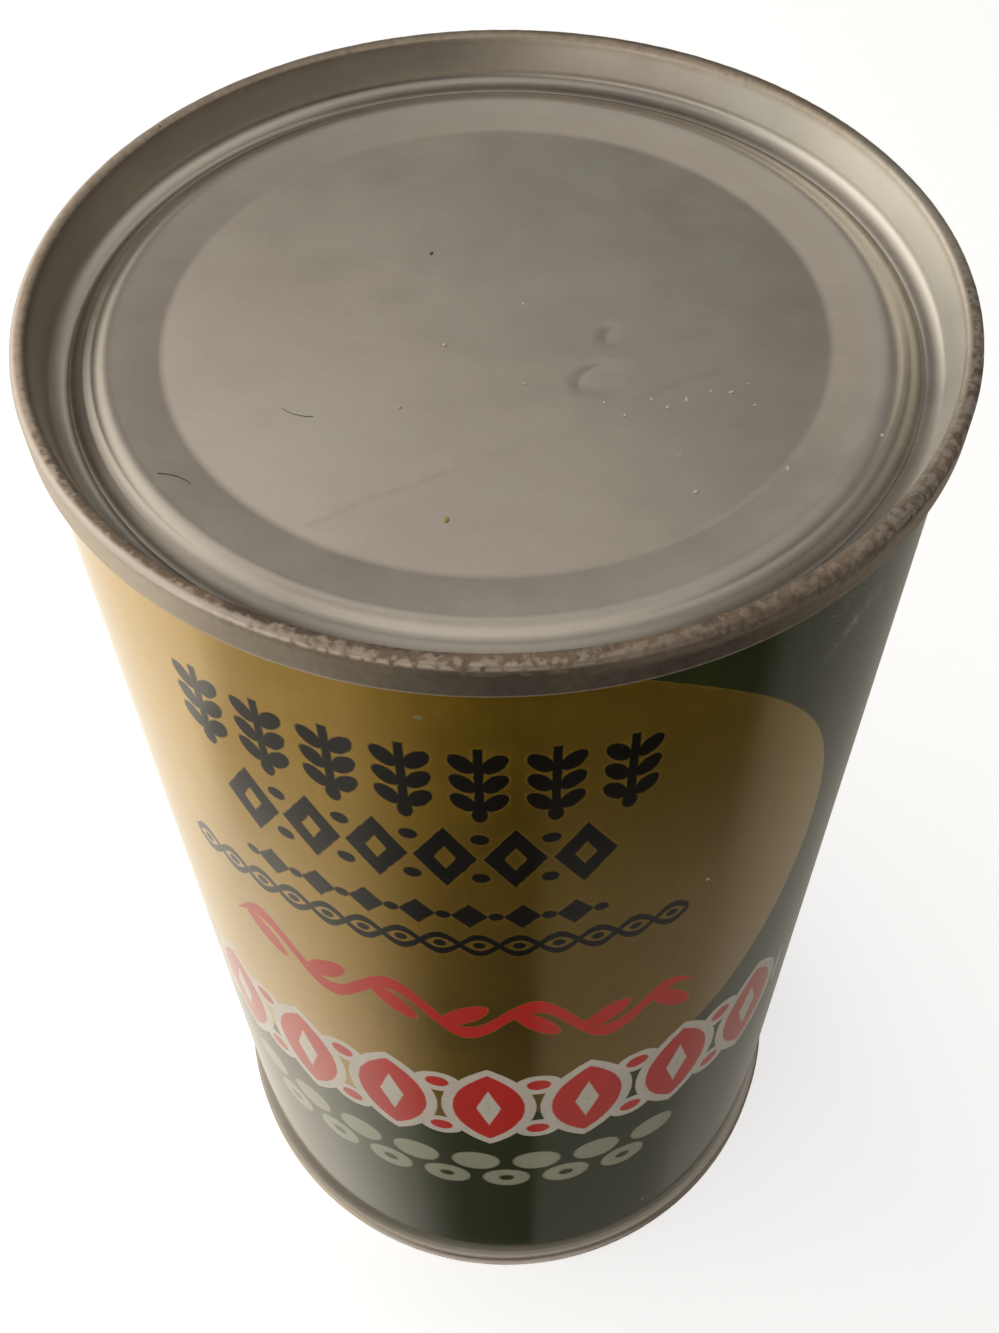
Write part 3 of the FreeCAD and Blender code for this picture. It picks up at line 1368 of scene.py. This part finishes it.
@dataclass(frozen=True)
class Hair(Dressed):
    """A short fine hair that lies on the upper end. Lengths are metres."""

    name: str
    start: Point
    heading: float
    bend: float
    run: float
    radius: float = 0.03 * MM
    steps: int = 12
    sides: int = 8
    sharp: float = 60.0

    def build(self, lie: Lie) -> Piece:
        """Extrudes the hair along a bent line.

        Args:
            lie: Gives the point of the surface at a place in millimetres.

        Returns:
            The new object.
        """
        Bench.clear()
        heading, turn = math.radians(self.heading), math.radians(self.bend / self.steps)
        middle = lie(*self.start) + Vector((0, 0, self.radius))
        bpy.ops.mesh.primitive_circle_add(
            vertices=self.sides,
            radius=self.radius,
            fill_type="NGON",
            location=middle,
            rotation=(math.radians(90), 0, heading - math.radians(90)),
        )
        piece = Bench.named(self.name)
        Bench.settle(piece)
        bpy.ops.object.mode_set(mode="EDIT")
        bpy.ops.mesh.select_all(action="SELECT")
        for _ in range(self.steps):
            heading += turn
            ahead = Vector((math.sin(heading), -math.cos(heading), 0)) * (self.run / self.steps)
            below = lie(*((middle + ahead).xy / MM))
            ahead.z = below.z + self.radius - middle.z
            middle = middle + ahead
            bpy.ops.mesh.extrude_region_move(TRANSFORM_OT_translate={"value": ahead})
            bpy.ops.transform.rotate(value=-turn, orient_axis="Z", center_override=middle)
        Bench.face_out()
        Bench.smooth(piece, self.sharp)
        return piece


@dataclass(frozen=True)
class Grit(Dressed):
    """Grains of one kind that lie on the upper end, as one mesh. Lengths are metres."""

    name: str
    places: tuple[Point, ...]
    size: float
    seed: int
    colour: Colour
    other: Colour
    sunk: float = 0.3
    flatness: float = 0.55
    sharp: float = 60.0

    def build(self, lie: Lie) -> Piece:
        """Sets down the grains, each a little different.

        Args:
            lie: Gives the point of the surface at a place in millimetres.

        Returns:
            The joined object.
        """
        chance = random.Random(self.seed)
        grains = []
        for x, y in self.places:
            Bench.clear()
            size = self.size * chance.uniform(0.75, 1.3)
            bpy.ops.mesh.primitive_ico_sphere_add(
                subdivisions=2,
                radius=size,
                location=lie(x, y) + Vector((0, 0, size * self.sunk)),
                rotation=(0, 0, chance.uniform(0, math.tau)),
                scale=(chance.uniform(0.8, 1.5), chance.uniform(0.6, 1.0), self.flatness),
            )
            grain = bpy.context.object
            for vert in grain.data.vertices:
                vert.co *= chance.uniform(0.88, 1.12)
            grains.append(grain)
        Bench.clear()
        for grain in grains:
            grain.select_set(True)
        bpy.context.view_layer.objects.active = grains[0]
        if len(grains) > 1:
            bpy.ops.object.join()
        piece = Bench.named(self.name)
        Bench.settle(piece)
        Bench.smooth(piece, self.sharp)
        return piece


HAIRS = (
    Hair("short_hair", start=(-13.0, -11.4), heading=55, bend=45, run=2.5 * MM),
    Hair("bent_hair", start=(-19.2, -19.4), heading=110, bend=-50, run=2.4 * MM),
)
GRITS = (
    Grit("pale_dust", PALE_DUST, 0.13 * MM, 3, (0.72, 0.66, 0.57), (0.55, 0.50, 0.42)),
    Grit("crumb", ((0.5, -19.65),), 0.16 * MM, 5, (0.55, 0.38, 0.14), (0.42, 0.28, 0.10)),
    Grit("dark_grit", ((-6.4, 7.15),), 0.17 * MM, 7, (0.12, 0.10, 0.08), (0.17, 0.14, 0.11)),
)


# ---------------------------------------------------------------- the studio


@dataclass(frozen=True)
class Camera:
    """The camera, which stands close above the can and looks steeply down."""

    azimuth: float = 11.5
    distance: float = 85.01 * MM
    height: float = 67.27 * MM
    tilt: float = 52.863
    pan: float = 0.116
    roll: float = 0.984
    lens: float = 39.84
    sensor_width: float = 36.0
    clip_start: float = 5 * MM

    def build(self, crest: float) -> None:
        """Sets up the camera.

        Args:
            crest: Height of the can's upper crest above the floor.
        """
        turn = math.radians(self.azimuth)
        x, y = math.sin(turn) * self.distance, -math.cos(turn) * self.distance
        place = Vector((x, y, crest + self.height))
        look = Matrix.Rotation(turn + math.radians(self.pan), 4, "Z")
        look @= Matrix.Rotation(math.radians(90 - self.tilt), 4, "X")
        look @= Matrix.Rotation(-math.radians(self.roll), 4, "Z")
        bpy.ops.object.camera_add()
        camera = bpy.context.object
        camera.matrix_world = Matrix.Translation(place) @ look
        camera.data.lens = self.lens
        camera.data.sensor_width = self.sensor_width
        camera.data.clip_start = self.clip_start
        bpy.context.scene.camera = camera


@dataclass(frozen=True)
class Lamp:
    """One soft box, aimed at the middle of the can."""

    name: str
    azimuth: float
    elevation: float
    distance: float
    width: float
    height: float
    power: float
    tint: Colour = (1.0, 1.0, 1.0)

    def build(self, aim: Vector) -> None:
        """Places the lamp.

        Args:
            aim: The point that it faces.
        """
        turn, rise = math.radians(self.azimuth), math.radians(self.elevation)
        level = math.cos(rise)
        way = Vector((math.sin(turn) * level, -math.cos(turn) * level, math.sin(rise)))
        bpy.ops.object.light_add(type="AREA", location=aim + way * self.distance)
        lamp = bpy.context.object
        lamp.name = self.name
        lamp.data.shape = "RECTANGLE"
        lamp.data.size = self.width
        lamp.data.size_y = self.height
        lamp.data.energy = self.power
        lamp.data.color = self.tint
        lamp.rotation_mode = "QUATERNION"
        lamp.rotation_quaternion = way.to_track_quat("Z", "Y")


@dataclass(frozen=True)
class Reflector:
    """A toned card on the floor round the can's foot, which the shiny wall reflects.

    Each of its places lies where the wall shows it to the camera, so that its tones run
    round the wall: a lit side on the left, then a soft fall into the dark. Only reflections
    show the card, and it takes no light from the floor.
    """

    camera: Camera
    wall_radius: float
    last_angle: float = 66.0
    inner: float = 1.5 * MM
    outer: float = 330 * MM
    lift: float = 0.4 * MM
    tint: Colour = (1.0, 0.93, 0.79)
    columns: int = 132
    rows: int = 12
    # Where the card's lower tones pass into its upper ones, from its inner edge on.
    blend_start: float = 0.36
    blend_end: float = 0.48
    # Each tone is the wall's angle in degrees from the camera's side, and a brightness.
    upper_tones: tuple[Point, ...] = (
        (-66, 1.06), (-41, 1.04), (-38.8, 0.80), (-36.5, 0.52), (-33, 0.43), (-25, 0.35),
        (-20, 0.28), (-17.5, 0.33), (-15, 0.19), (-11, 0.11), (-8, 0.055), (-5, 0.03),
        (0, 0.01), (12, 0.008), (29.5, 0.008), (31.5, 0.10), (33.5, 0.18), (45, 0.24),
        (66, 0.30),
    )
    lower_tones: tuple[Point, ...] = (
        (-66, 1.02), (-45, 0.95), (-37, 0.92), (-31, 0.78), (-24, 0.54), (-18, 0.32),
        (-15, 0.19), (-12, 0.10), (-9, 0.05), (3.5, 0.03), (6, 0.13), (27, 0.15),
        (31, 0.17), (36, 0.24), (66, 0.30),
    )

    def place(self, angle: float, run: float) -> Vector:
        """Gives the floor place that the wall shows at an angle.

        Args:
            angle: Angle round the wall from the camera's side, in radians.
            run: Level distance from the wall.

        Returns:
            The place.
        """
        out = Vector((math.sin(angle), -math.cos(angle)))
        wall = out * self.wall_radius
        sight = wall - Vector((0, -self.camera.distance))
        away = (sight - 2 * sight.dot(out) * out).normalized()
        spot = wall + away * run
        return Matrix.Rotation(math.radians(self.camera.azimuth), 4, "Z") @ Vector((*spot, self.lift))

    def toned(self, tree: Tree, share: Term, tones: Sequence[Point]) -> Term:
        """Turns a share of the card's width into a tone.

        Args:
            tree: The card's node tree.
            share: From 0 at the card's left edge to 1 at its right edge.
            tones: The wall's angles and the brightness that each shows, from left to right.

        Returns:
            The tone.
        """
        node = tree.nodes.new("ShaderNodeValToRGB")
        stops = node.color_ramp.elements
        spots = [(angle + self.last_angle) / (2 * self.last_angle) for angle, _ in tones]
        for spot in spots[1:-1]:
            stops.new(spot)
        for stop, spot, (_, tone) in zip(stops, spots, tones):
            stop.position = spot
            stop.color = (tone, tone, tone, 1)
        feed(tree, node.inputs[0], share)
        return Term(tree, node.outputs[0])

    def build(self) -> None:
        """Lays the card out and gives it its tones."""
        Bench.clear()
        bpy.ops.mesh.primitive_grid_add(x_subdivisions=self.columns, y_subdivisions=self.rows, size=2)
        card = Bench.named("reflector")
        for vert in card.data.vertices:
            run = self.inner + (self.outer - self.inner) * ((vert.co.y + 1) / 2) ** 2
            vert.co = self.place(math.radians(vert.co.x * self.last_angle), run)
        material = bpy.data.materials.new("reflector")
        material.use_nodes = True
        tree = material.node_tree
        chart = tree.nodes.new("ShaderNodeUVMap")
        split = tree.nodes.new("ShaderNodeSeparateXYZ")
        tree.links.new(chart.outputs[0], split.inputs[0])
        across, along = (Term(tree, split.outputs[i]) for i in (0, 1))
        # Right under the seam, the lit side reaches further round.
        near_seam = across - along.ramp(0.485, 0.51) * across.ramp(0.30, 0.265) * 0.036
        upper = self.toned(tree, near_seam, self.upper_tones)
        lower = self.toned(tree, across, self.lower_tones)
        tone = mixed(tree, along.ramp(self.blend_start, self.blend_end), lower, upper)
        glow = tree.nodes.new("ShaderNodeEmission")
        glow.inputs["Color"].default_value = (*self.tint, 1)
        feed(tree, glow.inputs["Strength"], tone)
        tree.links.new(glow.outputs[0], tree.nodes["Material Output"].inputs["Surface"])
        material.cycles.emission_sampling = "NONE"
        card.data.materials.append(material)
        card.visible_camera = False
        card.visible_diffuse = False
        card.visible_shadow = False
        card.visible_transmission = False


@dataclass(frozen=True)
class Studio:
    """The pale floor, the surrounding light, the reflector and the lamps."""

    lamps: tuple[Lamp, ...]
    reflector: Reflector
    world: Colour = (0.09, 0.09, 0.09)
    floor: Colour = (0.80, 0.80, 0.79)
    floor_size: float = 6.0
    floor_roughness: float = 0.9
    glow: float = 0.60

    def build(self, aim: Vector) -> None:
        """Sets up everything round the can.

        Args:
            aim: The point that the lamps face.
        """
        Bench.clear()
        bpy.ops.mesh.primitive_plane_add(size=self.floor_size, location=(0, 0, 0))
        floor = Bench.named("studio_floor")
        material = bpy.data.materials.new("studio_floor")
        material.use_nodes = True
        tree = material.node_tree
        shader = tree.nodes["Principled BSDF"]
        shader.inputs["Base Color"].default_value = (*self.floor, 1)
        shader.inputs["Roughness"].default_value = self.floor_roughness
        ray = tree.nodes.new("ShaderNodeLightPath")
        kinds = ("Is Camera Ray", "Is Glossy Ray", "Is Transmission Ray")
        seen = functools.reduce(Term.most, [Term(tree, ray.outputs[kind]) for kind in kinds])
        shader.inputs["Emission Color"].default_value = (1, 1, 1, 1)
        feed(tree, shader.inputs["Emission Strength"], seen * self.glow)
        material.cycles.emission_sampling = "NONE"
        floor.data.materials.append(material)
        world = bpy.data.worlds.new("studio")
        world.use_nodes = True
        world.node_tree.nodes["Background"].inputs[0].default_value = (*self.world, 1)
        bpy.context.scene.world = world
        self.reflector.build()
        for lamp in self.lamps:
            lamp.build(aim)
        bpy.context.scene.view_settings.view_transform = "Standard"


def main() -> None:
    """Builds the can and its studio, in order."""
    body_low, body_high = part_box("can_body")
    _, end_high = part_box("upper_end")
    crest = end_high.z
    camera = Camera()
    camera.build(crest)
    specks, smudges = speck_effect(), smudge_effect()
    tinplate = Tinplate(crest / MM).material(specks, smudges)
    printed = Print(can_height=crest / MM, radius=body_high.x / MM).material(specks, smudges)
    wall = Wall(low=body_low.z, high=body_high.z, radius=body_high.x)
    wall.dress(wall.build(), printed)

    seam = {"seam_radius": end_high.x, "wall_radius": body_high.x}
    shown = EndPlate("shown_end", crest, Facing.UP, node="upper_end", dents=DENTS, **seam)
    standing = EndPlate("standing_end", 0.0, Facing.DOWN, node="lower_end", **seam)
    for end in (shown, standing):
        end.dress(end.build(), tinplate)

    hair_finish = Fleck("hair", (0.16, 0.135, 0.11), (0.21, 0.18, 0.15)).material()
    for hair in HAIRS:
        hair.dress(hair.build(shown.lie), hair_finish)
    for grit in GRITS:
        grit.dress(grit.build(shown.lie), Fleck(grit.name, grit.colour, grit.other).material())

    warm, pale = (1.0, 0.95, 0.90), (1.0, 0.965, 0.93)
    lamps = (
        Lamp("window", -104, 30, distance=0.6, width=0.8, height=0.6, power=2.1, tint=warm),
        Lamp("low_window", -145, 20, distance=0.7, width=0.5, height=0.35, power=0.06, tint=pale),
        Lamp("fill", -30, 18, distance=0.6, width=0.7, height=0.3, power=0.9, tint=warm),
        Lamp("ceiling", 5, 68, distance=0.7, width=0.8, height=0.5, power=1.0, tint=pale),
        Lamp("sky", 170, 64, distance=0.8, width=1.1, height=0.6, power=0.95, tint=pale),
    )
    Studio(lamps, Reflector(camera, body_high.x)).build(Vector((0, 0, crest / 2)))


if __name__ == "__main__":
    main()
